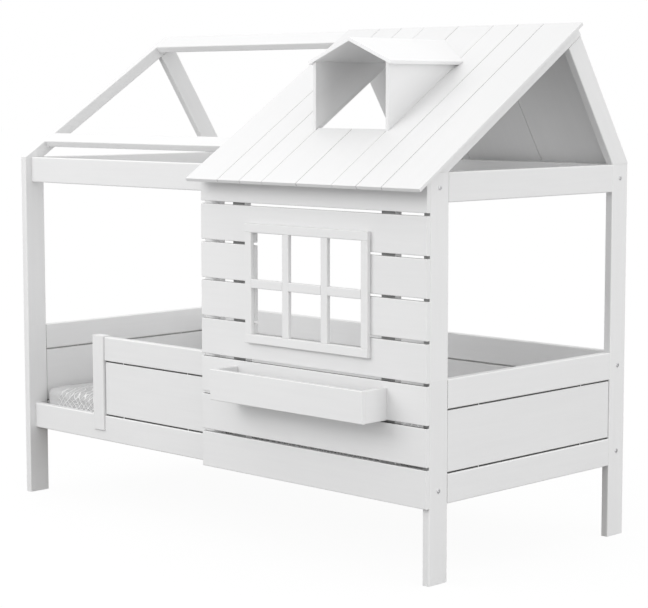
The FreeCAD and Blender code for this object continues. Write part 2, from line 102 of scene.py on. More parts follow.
camera_data = bpy.data.cameras.new("photo_camera")
camera_data.sensor_width = SENSOR_WIDTH
camera_data.lens = FOCAL_PIXELS * SENSOR_WIDTH / IMAGE_WIDTH
camera_data.shift_x = (IMAGE_WIDTH / 2 - OPTICAL_CENTRE[0]) / IMAGE_WIDTH
camera_data.shift_y = (OPTICAL_CENTRE[1] - IMAGE_HEIGHT / 2) / IMAGE_WIDTH
camera_data.clip_end = 200.0
camera = linked_piece("photo_camera", camera_data)
camera.location = CAMERA_PLACE
camera.rotation_euler = aim(CAMERA_PLACE, CAMERA_PLACE + CAMERA_LOOK)
bpy.context.scene.camera = camera
bpy.context.scene.view_settings.view_transform = "Standard"

world = bpy.data.worlds.new("white_surround")
bpy.context.scene.world = world
world.use_nodes = True
sky = world.node_tree
sky.nodes.clear()
seen = put(sky, "ShaderNodeBackground", {"Color": WHITE, "Strength": 1.0})
surround = put(sky, "ShaderNodeBackground", {"Color": WHITE, "Strength": SURROUND_STRENGTH})
rays = put(sky, "ShaderNodeLightPath").outputs
seen_or_mirrored = put(sky, "ShaderNodeMath", {0: rays["Is Camera Ray"], 1: rays["Is Glossy Ray"]},
                       operation="MAXIMUM")
or_through = put(sky, "ShaderNodeMath", {0: seen_or_mirrored.outputs[0], 1: rays["Is Transmission Ray"]},
                 operation="MAXIMUM")
sky_mix = put(sky, "ShaderNodeMixShader",
              {0: or_through.outputs[0], 1: surround.outputs[0], 2: seen.outputs[0]})
put(sky, "ShaderNodeOutputWorld", {"Surface": sky_mix.outputs[0]})


def soft_lamp(name, place, target, size, watts):
    """A rectangular area lamp."""
    light = bpy.data.lights.new(name, "AREA")
    light.shape = "RECTANGLE"
    light.size, light.size_y = size
    light.energy = watts
    holder = linked_piece(name, light)
    holder.location = place
    holder.rotation_euler = aim(Vector(place), Vector(target))


soft_lamp("front_lamp", (-1.2, -4.3, 3.0), (0.3, 0, 0.9), (3.0, 2.0), FRONT_WATTS)
soft_lamp("foot_lamp", (9.0, 0.2, 0.7), (0, 0.2, 0.5), (5.5, 1.6), FOOT_WATTS)
soft_lamp("low_lamp", (0.5, -2.7, 0.3), (0.5, 0, 0.25), (3.4, 0.4), LOW_WATTS)

floor_material, floor_tree = new_material("pale_floor")
floor_paint = put(floor_tree, "ShaderNodeBsdfDiffuse", {"Color": FLOOR_BOUNCE})
floor_seen = put(floor_tree, "ShaderNodeBsdfDiffuse", {"Color": FLOOR_COLOUR})
floor_white = put(floor_tree, "ShaderNodeEmission", {"Strength": 1.0})
floor_rays = put(floor_tree, "ShaderNodeLightPath").outputs
floor_view = put(floor_tree, "ShaderNodeMixShader",
                 {0: FLOOR_SHADOW_SHARE, 1: floor_white.outputs[0], 2: floor_seen.outputs[0]})
floor_mix = put(floor_tree, "ShaderNodeMixShader",
                {0: floor_rays["Is Camera Ray"], 1: floor_paint.outputs[0], 2: floor_view.outputs[0]})
put(floor_tree, "ShaderNodeOutputMaterial", {"Surface": floor_mix.outputs[0]})
floor_mesh = bpy.data.meshes.new("floor")
floor_corners = [(x * FLOOR_REACH, y * FLOOR_REACH, 0) for x, y in ((-1, -1), (1, -1), (1, 1), (-1, 1))]
floor_mesh.from_pydata(floor_corners, [], [(0, 1, 2, 3)])
floor_mesh.materials.append(floor_material)
floor = linked_piece("floor", floor_mesh)

# ---------------------------------------------------------------------------
# White lacquer over planed softwood: the grain is a low relief on each board,
# the sheen varies, and eased edges are smoother. Faces in grooves and gaps are
# painted darker, since light alone leaves them paler than in the photo.
# ---------------------------------------------------------------------------
GRAIN_STRETCH = (4.0, 70.0, 1.0)           # noise cells for each metre along and across a board
GRAIN_RELIEF = 0.00008
BOARD_SHIFT = 57.0                         # how far the grain moves on from board to board
PEEL_SCALE = 260.0                         # spray texture, cells for each metre
PEEL_RELIEF = 0.00001
PAINTED_SHADE_COLOUR = (0.012, 0.012, 0.012, 1)     # painted shade in the grooves and narrow gaps


def maths(tree, operation, *values):
    """A math node's result."""
    return put(tree, "ShaderNodeMath", dict(enumerate(values)), operation=operation).outputs[0]


def vector_maths(tree, operation, *values):
    """A vector math node's result."""
    return put(tree, "ShaderNodeVectorMath", dict(enumerate(values)), operation=operation).outputs[0]


def mark(tree, name):
    """A named mark that the mesh carries."""
    return put(tree, "ShaderNodeAttribute", attribute_name=name).outputs["Fac"]


def noise(tree, place, scale, detail=2.0):
    """Noise at a place, from 0 to 1."""
    return put(tree, "ShaderNodeTexNoise", {"Vector": place, "Scale": scale, "Detail": detail}).outputs["Fac"]


def ramp(tree, share, first, last, *between):
    """A colour from a share; each stop is a position and a colour."""
    node = put(tree, "ShaderNodeValToRGB", {"Fac": share})
    stops = node.color_ramp.elements
    for stop, (position, colour) in zip(stops, (first, last)):
        stop.position = position
        stop.color = (*colour, 1)
    for position, colour in between:
        stops.new(position).color = (*colour, 1)
    return node.outputs["Color"]


def blend_colours(tree, share, first, second):
    """The first colour where the share is 0 and the second where it is 1."""
    inputs = {"Factor": share, "A": first, "B": second}
    return put(tree, "ShaderNodeMix", inputs, data_type="RGBA").outputs["Result"]


def spread(tree, share, low, high):
    """A share from 0 to 1 taken to the range from low to high."""
    return put(tree, "ShaderNodeMapRange", {"Value": share, "To Min": low, "To Max": high}).outputs["Result"]


def bump(tree, height, distance, strength, under=None):
    """A relief, laid on the relief under it if there is one."""
    node = put(tree, "ShaderNodeBump", {"Height": height, "Distance": distance, "Strength": strength})
    if under is not None:
        tree.links.new(under, node.inputs["Normal"])
    return node.outputs["Normal"]


def cover_with(tree, inputs):
    """Finish a material with one principled surface."""
    surface = put(tree, "ShaderNodeBsdfPrincipled", inputs)
    put(tree, "ShaderNodeOutputMaterial", {"Surface": surface.outputs[0]})


def white_lacquer(name, light, shade, roughness):
    """Lacquered timber: reads each board's own grain map, tone, edge marks and painted gap shade."""
    material, tree = new_material(name)
    grain_map = put(tree, "ShaderNodeUVMap", uv_map="grain").outputs["UV"]
    place = put(tree, "ShaderNodeTexCoord").outputs["Object"]
    tone = mark(tree, "tone")
    edge = mark(tree, "eased_edge")
    shift = maths(tree, "MULTIPLY", tone, BOARD_SHIFT)
    board_offset = put(tree, "ShaderNodeCombineXYZ", {"X": shift, "Z": shift}).outputs[0]
    on_board = vector_maths(tree, "MULTIPLY_ADD", grain_map, GRAIN_STRETCH, board_offset)
    grain = put(tree, "ShaderNodeTexNoise", {
        "Vector": on_board, "Scale": 1.0, "Detail": 3.0, "Roughness": 0.5, "Distortion": 0.35}).outputs["Fac"]
    cloud_share = maths(tree, "MULTIPLY", noise(tree, place, 3.5, 3.0), 0.30)
    tone_share = maths(tree, "MULTIPLY_ADD", tone, 0.35, cloud_share)
    share = maths(tree, "MULTIPLY_ADD", grain, 0.55, tone_share)
    colour = ramp(tree, share, (0.25, shade), (0.95, light))
    edge_colour = (light[0] * 1.01, light[1] * 1.01, light[2] * 1.005, 1)
    colour = blend_colours(tree, edge, colour, edge_colour)
    # painted shade: faces in grooves and gaps are mixed towards near black
    colour = blend_colours(tree, mark(tree, "painted_gap_shade"), colour, PAINTED_SHADE_COLOUR)
    sheen = spread(tree, grain, roughness - 0.06, roughness + 0.08)
    grain_bump = bump(tree, grain, GRAIN_RELIEF, 0.7)
    cover_with(tree, {
        "Base Color": colour, "Roughness": maths(tree, "MULTIPLY_ADD", edge, -0.07, sheen), "IOR": 1.48,
        "Specular IOR Level": 0.42, "Coat Weight": 0.10, "Coat Roughness": 0.30,
        "Normal": bump(tree, noise(tree, place, PEEL_SCALE), PEEL_RELIEF, 0.5, grain_bump)})
    return material


frame_lacquer = white_lacquer("frame_lacquer", (0.785, 0.785, 0.786), (0.745, 0.745, 0.747), 0.42)

# ---------------------------------------------------------------------------
# Corner posts: 28 by 86 mm timber in two lengths, one standing on the other,
# so a fine seam shows level with the tops of the end frames' upper rails. All
# long edges are eased, and the lengths' ends have a small break.
# ---------------------------------------------------------------------------
END_BREAK = 0.0012                          # softening of the sawn ends and arrises
SHARP_ANGLE = math.radians(32)
NARROW_FACE = 0.0034                        # faces narrower than this are eased edges
FACING = 0.9                                # a face looks along an axis when its normal's part exceeds this
FACE_MARGIN = 0.003                         # what lies this near a limit counts as on it
MAP_SPREAD = 0.37                           # keeps the grain of a board's sides apart
SORT_LINE = Vector((1.0, 3.7, 11.3))        # a slanting line that gives cut faces a fixed order

ALONG_X = Vector((1, 0, 0))
ALONG_Y = Vector((0, 1, 0))
ALONG_Z = Vector((0, 0, 1))
FRONT_PITCH = math.radians(33.0)
UP_FRONT_SLOPE = Vector((0, math.cos(FRONT_PITCH), math.sin(FRONT_PITCH)))
DOWN_BACK_SLOPE = Vector((0, math.sin(FRONT_PITCH), -math.cos(FRONT_PITCH)))


def boards_of(bm):
    """The faces of a mesh as one list for each separate board, always in the same order."""
    seen = set()
    groups = []
    for first in bm.faces:
        if first in seen:
            continue
        seen.add(first)
        group = []
        queue = [first]
        while queue:
            face = queue.pop()
            group.append(face)
            for edge in face.edges:
                for other in edge.link_faces:
                    if other not in seen:
                        seen.add(other)
                        queue.append(other)
        groups.append(group)
    return groups


def lay_grain(bm, name, direction, gap_depth):
    """Give every face its grain map, its board's tone, its edge mark and its painted shade in a gap."""
    grain_map = bm.loops.layers.uv.new("grain")
    tone = bm.faces.layers.float.new("tone")
    eased = bm.faces.layers.float.new("eased_edge")
    painted_gap_shade = bm.faces.layers.float.new("painted_gap_shade")
    pick = random.Random(name)
    for board in boards_of(bm):
        board_tone = pick.random()
        for face in board:
            face[tone] = board_tone
            longest = max(edge.calc_length() for edge in face.edges)
            face[eased] = 1.0 if face.calc_area() < NARROW_FACE * longest else 0.0
            face[painted_gap_shade] = gap_depth(face) if gap_depth else 0.0
            across = face.normal.cross(direction)
            along = direction
            if across.length < 0.3:
                across = face.normal.orthogonal().normalized()
                along = face.normal.cross(across)
            across.normalize()
            depth = face.calc_center_median().dot(face.normal)
            for loop in face.loops:
                spot = loop.vert.co
                loop[grain_map].uv = (spot.dot(along), spot.dot(across) + MAP_SPREAD * depth)


def smooth_faces(mesh):
    """Smooth shading with flat faces kept flat and corners kept crisp."""
    mesh.shade_smooth()
    mesh.set_sharp_from_angle(angle=SHARP_ANGLE)


def mesh_from(bm, name):
    """A new mesh from a finished bmesh, which is freed."""
    mesh = bpy.data.meshes.new(name)
    bm.to_mesh(mesh)
    bm.free()
    return mesh


def lacquered(node, direction, material=frame_lacquer, soften=END_BREAK, gap_depth=None, divided_at=None):
    """A finished timber piece on its CAD node: arrises broken, grain laid, lacquer on.

    The function given for gaps tells from 0 to 1 how much painted shade a face in a groove
    or narrow gap gets, and faces that are only partly hidden are divided at the height given."""
    bm = bmesh.new()
    bm.from_mesh(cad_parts[node].data)
    bmesh.ops.remove_doubles(bm, verts=bm.verts, dist=1e-5)
    bmesh.ops.dissolve_limit(bm, angle_limit=math.radians(0.5), verts=bm.verts, edges=bm.edges)
    arrises = [e for e in bm.edges if len(e.link_faces) == 2 and e.calc_face_angle_signed(0) > SHARP_ANGLE]
    bmesh.ops.bevel(bm, geom=arrises, offset=soften, segments=2, profile=0.5, affect="EDGES",
                    clamp_overlap=True)
    bmesh.ops.remove_doubles(bm, verts=bm.verts, dist=1e-6)
    bmesh.ops.dissolve_degenerate(bm, edges=bm.edges, dist=1e-6)
    if divided_at is not None:
        every_part = [*bm.verts, *bm.edges, *bm.faces]
        bmesh.ops.bisect_plane(bm, geom=every_part, plane_co=(0, 0, divided_at), plane_no=(0, 0, 1))
        bm.faces.sort(key=lambda face: face.calc_center_median().dot(SORT_LINE))
    bm.normal_update()
    lay_grain(bm, node, direction, gap_depth)
    mesh = mesh_from(bm, node + "_timber")
    mesh.materials.append(material)
    smooth_faces(mesh)
    piece = linked_piece(node + "_timber", mesh)
    weighted = piece.modifiers.new("flat_faces", "WEIGHTED_NORMAL")
    weighted.keep_sharp = True
    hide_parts(node)
    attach(piece, "bed_frame")
    return piece


BEHIND_PLANKS_SHADE = 0.58                        # how dark the painted shade is on the faces that show only between planks
wall_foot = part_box("wall_plank_1")[0].z


def behind_wall(face):
    """Painted shade for the front faces of what carries the wall's planks, above the wall's foot."""
    return BEHIND_PLANKS_SHADE if face.normal.y < -FACING and face.calc_center_median().z > wall_foot else 0.0


for place in ("front_left", "front_right", "back_left", "back_right"):
    for length in ("lower", "upper"):
        node = "_".join(("post", place, length))
        # the right front posts are divided at the wall's foot, so painted shade stops where the planks end
        if place == "front_right":
            post = lacquered(node, ALONG_Z, gap_depth=behind_wall, divided_at=wall_foot)
        else:
            post = lacquered(node, ALONG_Z)

# ---------------------------------------------------------------------------
# End frames, back and front side: 94 mm rails between the posts, with framed
# panels whose tongues stand in grooves and leave a shadow gap all round.
# ---------------------------------------------------------------------------
PANEL_BREAK = 0.0008
TONGUE_REACH = 0.0065                       # a tongue's face is this near the panel's middle plane
PANEL_GAP_SHADE = 0.96                      # painted shade on the tongues and the grooves' sides
# painted shade on a panel's edges in its shadow gap
PANEL_EDGE_SHADE = 0.25
INNER_SHARE = 0.5                           # gaps on the bed's inside get this share of the painted shade
GROOVE_FACE_AREA = 0.03                     # a groove's faces are smaller than this, in square metres
ARRIS_MARGIN = 0.002                        # from a rail's upper and lower faces to its groove's faces


def inner_share(offset, middle):
    """The share of painted shade on one side of a panel, which is less on the side nearer the bed's middle.
    """
    return INNER_SHARE if offset * middle < 0 else 1.0


def panel_gaps(node, across):
    """How much painted shade each face of a panel gets in its shadow gap: most on the tongues, less on the
    edges.
    """
    low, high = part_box(node)
    middle = (low + high).dot(across) / 2

    def gap_depth(face):
        offset = face.calc_center_median().dot(across) - middle
        if abs(offset) > TONGUE_REACH + FACE_MARGIN:
            return 0.0
        depth = PANEL_GAP_SHADE if abs(face.normal.dot(across)) > FACING else PANEL_EDGE_SHADE
        return depth * inner_share(offset, middle)

    return gap_depth


def rail_gaps(node, across):
    """Painted shade for the faces of a grooved rail that look into its panel's shadow gap."""
    low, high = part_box(node)
    middle = (low + high).dot(across) / 2

    def gap_depth(face):
        centre = face.calc_center_median()
        offset = centre.dot(across) - middle
        inside = low.z + ARRIS_MARGIN < centre.z < high.z - ARRIS_MARGIN
        if abs(offset) > TONGUE_REACH or not inside or face.calc_area() > GROOVE_FACE_AREA:
            return 0.0
        return PANEL_GAP_SHADE * inner_share(offset, middle)

    return gap_depth


def framed_panel(node, along, across):
    """A panel with painted shade in the shadow gap that its tongues leave."""
    return lacquered(node, along, soften=PANEL_BREAK, gap_depth=panel_gaps(node, across))


for end in ("head", "foot"):
    for rail in (end + "_top_rail", end + "_bottom_rail"):
        lacquered(rail, ALONG_Y, gap_depth=rail_gaps(rail, ALONG_X))
    framed_panel(end + "_panel", ALONG_Y, ALONG_X)
for rail in ("back_top_rail", "back_bottom_rail", "front_side_rail"):
    lacquered(rail, ALONG_X, gap_depth=rail_gaps(rail, ALONG_Y))
framed_panel("back_panel", ALONG_X, ALONG_Y)

# ---------------------------------------------------------------------------
# Guard: a rail over a framed panel, held by the end post that laps in front
# of the side rail and by the tall stile beside the house front.
# ---------------------------------------------------------------------------
lacquered("guard_top_rail", ALONG_X)
framed_panel("guard_panel", ALONG_X, ALONG_Y)
lacquered("guard_end_post", ALONG_Z)
lacquered("front_stile", ALONG_Z)

# ---------------------------------------------------------------------------
# Sleeping base: planed softwood ledgers and slats, left bare. Two cotton
# tapes run under the slats and are stapled to each one.
# ---------------------------------------------------------------------------
SLAT_COUNT = 14
SLAT_WIDTH = 0.070
SLAT_BREAK = 0.0010
TAPE_PLACES = (0.28, 0.72)                  # of the way across the bed
TAPE_WIDTH = 0.025
TAPE_THICKNESS = 0.0008
TAPE_SAG = 0.0022
TAPE_STEPS = 8                              # points along the tape for each slat
STAPLE_WIDTH = 0.010
STAPLE_WIRE = 0.0012
STAPLE_HEIGHT = 0.0006
STAPLE_BREAK = 0.0002
STAPLE_STAND = 0.0002                       # from the tape to the staple's middle
TAPE_HELD = 0.35                            # no sag below this share, where the tape lies on a slat


def wave(tree, place, inputs, **settings):
    """Bands at a place, from 0 to 1."""
    return put(tree, "ShaderNodeTexWave", {"Vector": place, **inputs}, **settings).outputs["Fac"]


def turned_place(tree, place, turns):
    """A place seen in a frame that is turned about its axes."""
    return put(tree, "ShaderNodeMapping", {"Vector": place, "Rotation": turns}).outputs["Vector"]


def bare_softwood():
    """Pale planed wood: growth rings stretched along each board, with fine fibres."""
    material, tree = new_material("bare_softwood")
    grain_map = put(tree, "ShaderNodeUVMap", uv_map="grain").outputs["UV"]
    tone = mark(tree, "tone")
    on_board = vector_maths(tree, "MULTIPLY_ADD", tone, (3.0, 3.0, 3.0), grain_map)
    rings = wave(tree, vector_maths(tree, "MULTIPLY", on_board, (1.3, 24.0, 1.0)),
                 {"Scale": 1.6, "Distortion": 5.5, "Detail": 3.0, "Detail Scale": 0.8}, bands_direction="Y")
    fibres = noise(tree, vector_maths(tree, "MULTIPLY", on_board, (14.0, 900.0, 1.0)), 1.0, 3.0)
    tone_share = maths(tree, "MULTIPLY", tone, 0.22)
    ring_share = maths(tree, "MULTIPLY_ADD", rings, 0.5, tone_share)
    share = maths(tree, "MULTIPLY_ADD", fibres, 0.28, ring_share)
    colour = ramp(tree, share, (0.0, (0.66, 0.53, 0.37)), (1.0, (0.45, 0.31, 0.18)),
                  (0.55, (0.60, 0.46, 0.30)))
    cover_with(tree, {
        "Base Color": colour, "Roughness": spread(tree, rings, 0.52, 0.70), "Specular IOR Level": 0.3,
        "Normal": bump(tree, share, 0.0001, 0.5)})
    return material


def cotton(name, light, shade, period, slant, pattern=None):
    """Twill or plain cotton with its weave in relief; slant is its twill angle in degrees.

    pattern adds a raised pattern: from the tree it gives a height, a colour and a relief."""
    material, tree = new_material(name)
    weave_map = put(tree, "ShaderNodeUVMap", uv_map="weave").outputs["UV"]
    threads = []
    for turn in (slant, slant + 90.0):
        across = turned_place(tree, weave_map, (0, 0, math.radians(turn)))
        threads.append(wave(tree, across, {
            "Scale": 2.0 * math.pi / (20.0 * period), "Distortion": 0.6, "Detail": 1.0, "Detail Scale": 2.0}))
    weave = maths(tree, "MAXIMUM", *threads)
    place = put(tree, "ShaderNodeTexCoord").outputs["Object"]
    cloud_share = maths(tree, "MULTIPLY", noise(tree, place, 9.0, 4.0), 0.65)
    share = maths(tree, "MULTIPLY_ADD", weave, 0.35, cloud_share)
    colour = ramp(tree, share, (0.2, shade), (0.9, light))
    raised = None
    if pattern:
        height, cord_colour, cord_relief = pattern(tree)
        colour = blend_colours(tree, height, colour, cord_colour)
        raised = bump(tree, height, cord_relief, 1.0)
    cover_with(tree, {
        "Base Color": colour, "Roughness": spread(tree, weave, 0.95, 0.78), "Specular IOR Level": 0.2,
        "Sheen Weight": 0.12, "Sheen Roughness": 0.5,
        "Normal": bump(tree, weave, 0.25 * period, 0.6, raised)})
    return material


def lay_weave(mesh):
    """A weave map in metres, laid flat on each face from the side that it faces most."""
    layer = mesh.uv_layers.new(name="weave")
    for polygon in mesh.polygons:
        normal = polygon.normal
        flat = max(range(3), key=lambda axis: abs(normal[axis]))
        first, second = [axis for axis in range(3) if axis != flat]
        for loop in polygon.loop_indices:
            spot = mesh.vertices[mesh.loops[loop].vertex_index].co
            layer.data[loop].uv = (spot[first], spot[second])


def node_group(name, inputs):
    """A geometry node group with named inputs, and those inputs' sockets inside it."""
    group = bpy.data.node_groups.new(name, "GeometryNodeTree")
    for label, kind in [("Geometry", "NodeSocketGeometry"), *inputs]:
        group.interface.new_socket(label, in_out="INPUT", socket_type=kind)
    group.interface.new_socket("Geometry", in_out="OUTPUT", socket_type="NodeSocketGeometry")
    return group, put(group, "NodeGroupInput").outputs


def hand_out(group, copies, finish):
    """End a group with its copies made real and given their material."""
    real = put(group, "GeometryNodeRealizeInstances", {"Geometry": copies}).outputs["Geometry"]
    dressed = put(group, "GeometryNodeSetMaterial", {"Geometry": real, "Material": finish})
    put(group, "NodeGroupOutput", {"Geometry": dressed.outputs["Geometry"]})


def grown(name, seed_mesh, group, values):
    """The finished piece that a node group grows on a seed mesh, with its modifier applied."""
    seed = linked_piece(name + "_seed", seed_mesh)
    modifier = seed.modifiers.new(name, "NODES")
    modifier.node_group = group
    for item in group.interface.items_tree:
        if item.in_out == "INPUT" and item.name in values:
            modifier[item.identifier] = values[item.name]
    bpy.context.view_layer.update()
    evaluated = seed.evaluated_get(bpy.context.evaluated_depsgraph_get())
    mesh = bpy.data.meshes.new_from_object(evaluated)
    mesh.name = name
    seed.modifiers.remove(modifier)
    bpy.data.objects.remove(seed)
    return linked_piece(name, mesh)


def seats(name, rows):
    """A mesh of loose points, each with a spin about the upright axis in radians."""
    mesh = bpy.data.meshes.new(name)
    mesh.from_pydata([place for place, spin in rows], [], [])
    spins = mesh.attributes.new("spin", "FLOAT", "POINT")
    for k, (place, spin) in enumerate(rows):
        spins.data[k].value = spin
    return mesh


def fastener_group(name):
    """Sets one small object on every point, turned by the point's spin."""
    group, given = node_group(name, [("Fastener", "NodeSocketObject"), ("Finish", "NodeSocketMaterial")])
    spin = put(group, "GeometryNodeInputNamedAttribute", {"Name": "spin"}, data_type="FLOAT")
    turn = put(group, "ShaderNodeCombineXYZ", {"Z": spin.outputs["Attribute"]})
    one = put(group, "GeometryNodeObjectInfo", {"Object": given["Fastener"]})
    copies = put(group, "GeometryNodeInstanceOnPoints", {
        "Points": given["Geometry"], "Instance": one.outputs["Geometry"], "Rotation": turn.outputs[0]})
    hand_out(group, copies.outputs["Instances"], given["Finish"])
    return group


def fastened(name, form, rows, finish):
    """Copies of one small object at every seat; the object itself goes."""
    copies = grown(name, seats(name + "_seats", rows), fastener_group("set_" + name),
                   {"Fastener": form, "Finish": finish})
    bpy.data.objects.remove(form)
    return copies


def zinc():
    """Bright zinc-plated steel with fine turning marks and dull patches."""
    material, tree = new_material("zinc_plate")
    place = put(tree, "ShaderNodeTexCoord").outputs["Object"]
    patches = noise(tree, place, 160.0)
    colour = ramp(tree, patches, (0.3, (0.68, 0.68, 0.69)), (0.75, (0.82, 0.82, 0.83)))
    cover_with(tree, {
        "Base Color": colour, "Metallic": 1.0, "Roughness": spread(tree, patches, 0.32, 0.50),
        "Normal": bump(tree, noise(tree, place, 900.0), 0.00003, 0.25)})
    return material


softwood = bare_softwood()
tape_cotton = cotton("tape_cotton", (0.62, 0.60, 0.55), (0.50, 0.48, 0.44), 0.0016, 0.0)
zinc_plate = zinc()
lacquered("slat_ledgers", ALONG_X, softwood)
lacquered("slats", ALONG_Y, softwood, SLAT_BREAK)

slats_low, slats_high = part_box("slats")
slat_middles = []
for k in range(SLAT_COUNT):
    share = k / (SLAT_COUNT - 1)
    slat_middles.append(slats_low.x + SLAT_WIDTH / 2 + share * (slats_high.x - slats_low.x - SLAT_WIDTH))
tape_lines = [slats_low.y + (slats_high.y - slats_low.y) * share for share in TAPE_PLACES]
tape_mesh = bmesh.new()
for middle_y in tape_lines:
    rows = []
    steps = TAPE_STEPS * (SLAT_COUNT - 1)
    for k in range(steps + 1):
        x = slat_middles[0] + (slat_middles[-1] - slat_middles[0]) * k / steps
        free = 0.5 - 0.5 * math.cos(2 * math.pi * k / TAPE_STEPS)
        top = slats_low.z - TAPE_SAG * max(0.0, free - TAPE_HELD)
        rows.append([tape_mesh.verts.new((x, middle_y + dy, top - dz))
                     for dy, dz in ((-TAPE_WIDTH / 2, 0), (TAPE_WIDTH / 2, 0),
                                    (TAPE_WIDTH / 2, TAPE_THICKNESS), (-TAPE_WIDTH / 2, TAPE_THICKNESS))])
    for row, after in zip(rows, rows[1:]):
        for corner in range(4):
            following = (corner + 1) % 4
            tape_mesh.faces.new((row[corner], after[corner], after[following], row[following]))
    tape_mesh.faces.new(rows[0])
    tape_mesh.faces.new(rows[-1][::-1])
bmesh.ops.recalc_face_normals(tape_mesh, faces=tape_mesh.faces)
tape_data = mesh_from(tape_mesh, "slat_tapes")
lay_weave(tape_data)
tape_data.materials.append(tape_cotton)
slat_tapes = linked_piece("slat_tapes", tape_data)
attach(slat_tapes, "bed_frame")

staple_form = bmesh.new()
bmesh.ops.create_cube(staple_form, size=1.0)
for vert in staple_form.verts:
    vert.co = Vector((vert.co.x * STAPLE_WIRE, vert.co.y * STAPLE_WIDTH, vert.co.z * STAPLE_HEIGHT))
bmesh.ops.bevel(staple_form, geom=list(staple_form.edges), offset=STAPLE_BREAK, segments=2, affect="EDGES")
staple = linked_piece("staple", mesh_from(staple_form, "staple"))
staple_z = slats_low.z - TAPE_THICKNESS - STAPLE_STAND
staple_rows = [((x, middle_y, staple_z), 0.0) for middle_y in tape_lines for x in slat_middles]
staples = fastened("slat_staples", staple, staple_rows, zinc_plate)
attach(staples, "bed_frame")

# ---------------------------------------------------------------------------
# Mattress: a quilted cover over foam. The stitch lines are held while a cloth
# simulation blows the cover up between them, then the surface is subdivided.
# A raised lattice is woven into it, and small stitches follow the quilting.
# ---------------------------------------------------------------------------
ROLL = 0.024                                # how far the top edge rolls in
CORNER = 0.026                              # corner radius of the level top
QUILT_CELLS_ALONG = 84                      # cells of the cover's top, along the bed
QUILT_CELLS_ACROSS = 36
QUILT_PITCH = 6                             # cells between stitch lines, both ways
STITCH_DEPTH = 0.0065                       # stitch lines below the puffed top
COVER_SLACK = -0.012                        # negative shrink: the cover is this much too long
CLOTH_FRAMES = 20
PUFF_LIMIT = 0.010                          # most that the cover rises or sinks
SIDE_LIMIT = 0.0022                         # most that it moves sideways
STITCH_STEP = 0.011                         # from stitch to stitch
STITCH_SHARE = 0.36                         # half of a stitch, of the step
STITCH_THREAD = 0.0007
LATTICE_START = 0.100                       # the raised lattice begins this far from the ends
LATTICE_FADE = 0.012
CORD_COLOUR = (0.80, 0.80, 0.802, 1)        # threads of the lattice
CORD_RELIEF = 0.006

mattress_low, mattress_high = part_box("mattress")
flat_low = Vector((mattress_low.x + ROLL, mattress_low.y + ROLL))
flat_high = Vector((mattress_high.x - ROLL, mattress_high.y - ROLL))


def round_corner(x, y):
    """Bring a point of the level top into its rounded outline; also gives its outward direction."""
    centre_x = min(max(x, flat_low.x + CORNER), flat_high.x - CORNER)
    centre_y = min(max(y, flat_low.y + CORNER), flat_high.y - CORNER)
    u = (x - centre_x) / CORNER
    v = (y - centre_y) / CORNER
    spot = Vector((centre_x + CORNER * u * math.sqrt(1 - v * v / 2),
                   centre_y + CORNER * v * math.sqrt(1 - u * u / 2)))
    out = spot - Vector((centre_x, centre_y))
    return spot, out.normalized() if out.length > 1e-6 else Vector((0, 0))


def top_spot(i, j):
    """A grid point of the cover's level top, and its outward direction."""
    x = flat_low.x + (flat_high.x - flat_low.x) * i / QUILT_CELLS_ALONG
    y = flat_low.y + (flat_high.y - flat_low.y) * j / QUILT_CELLS_ACROSS
    return round_corner(x, y)


def cover_shell():
    """The cover as quads: two level grids joined by rings; held vertices are the stitch lines and seams."""
    half = (mattress_high.z - mattress_low.z) / 2
    middle = (mattress_high.z + mattress_low.z) / 2
    bm = bmesh.new()
    held = set()
    grids = []
    for sign in (1, -1):
        grid = {}
        for i in range(QUILT_CELLS_ALONG + 1):
            for j in range(QUILT_CELLS_ACROSS + 1):
                spot = top_spot(i, j)[0]
                vert = bm.verts.new((spot.x, spot.y, middle + sign * (half - STITCH_DEPTH)))
                grid[i, j] = vert
                if (i + j) % QUILT_PITCH == 0 or (i - j) % QUILT_PITCH == 0:
                    held.add(vert)
        for i in range(QUILT_CELLS_ALONG):
            for j in range(QUILT_CELLS_ACROSS):
                corners = [grid[i, j], grid[i + 1, j], grid[i + 1, j + 1], grid[i, j + 1]]
                bm.faces.new(corners if sign > 0 else corners[::-1])
        grids.append(grid)
    border = [(i, 0) for i in range(QUILT_CELLS_ALONG)]
    border += [(QUILT_CELLS_ALONG, j) for j in range(QUILT_CELLS_ACROSS)]
    border += [(i, QUILT_CELLS_ACROSS) for i in range(QUILT_CELLS_ALONG, 0, -1)]
    border += [(0, j) for j in range(QUILT_CELLS_ACROSS, 0, -1)]
    top_z = half - STITCH_DEPTH
    profile = []
    for angle in (22.5, 45.0, 67.5, 90.0):
        turn = math.radians(angle)
        profile.append((ROLL * math.sin(turn), top_z - ROLL * (1 - math.cos(turn)), angle == 45.0))
    profile.append((ROLL - 0.0015, (top_z - ROLL) * 0.4, False))
    profile += [(reach, -rise, seam) for reach, rise, seam in profile[::-1]]
    rings = [[grids[0][spot] for spot in border]]
    for reach, rise, seam in profile:
        ring = []
        for i, j in border:
            spot, out = top_spot(i, j)
            vert = bm.verts.new((spot.x + out.x * reach, spot.y + out.y * reach, middle + rise))
            ring.append(vert)
            if seam:
                held.add(vert)
        rings.append(ring)
    rings.append([grids[1][spot] for spot in border])
    for ring, below in zip(rings, rings[1:]):
        for k in range(len(ring)):
            following = (k + 1) % len(ring)
            bm.faces.new((ring[k], below[k], below[following], ring[following]))
    bm.verts.index_update()
    held_indices = sorted(vert.index for vert in held)
    return mesh_from(bm, "mattress_cover"), held_indices


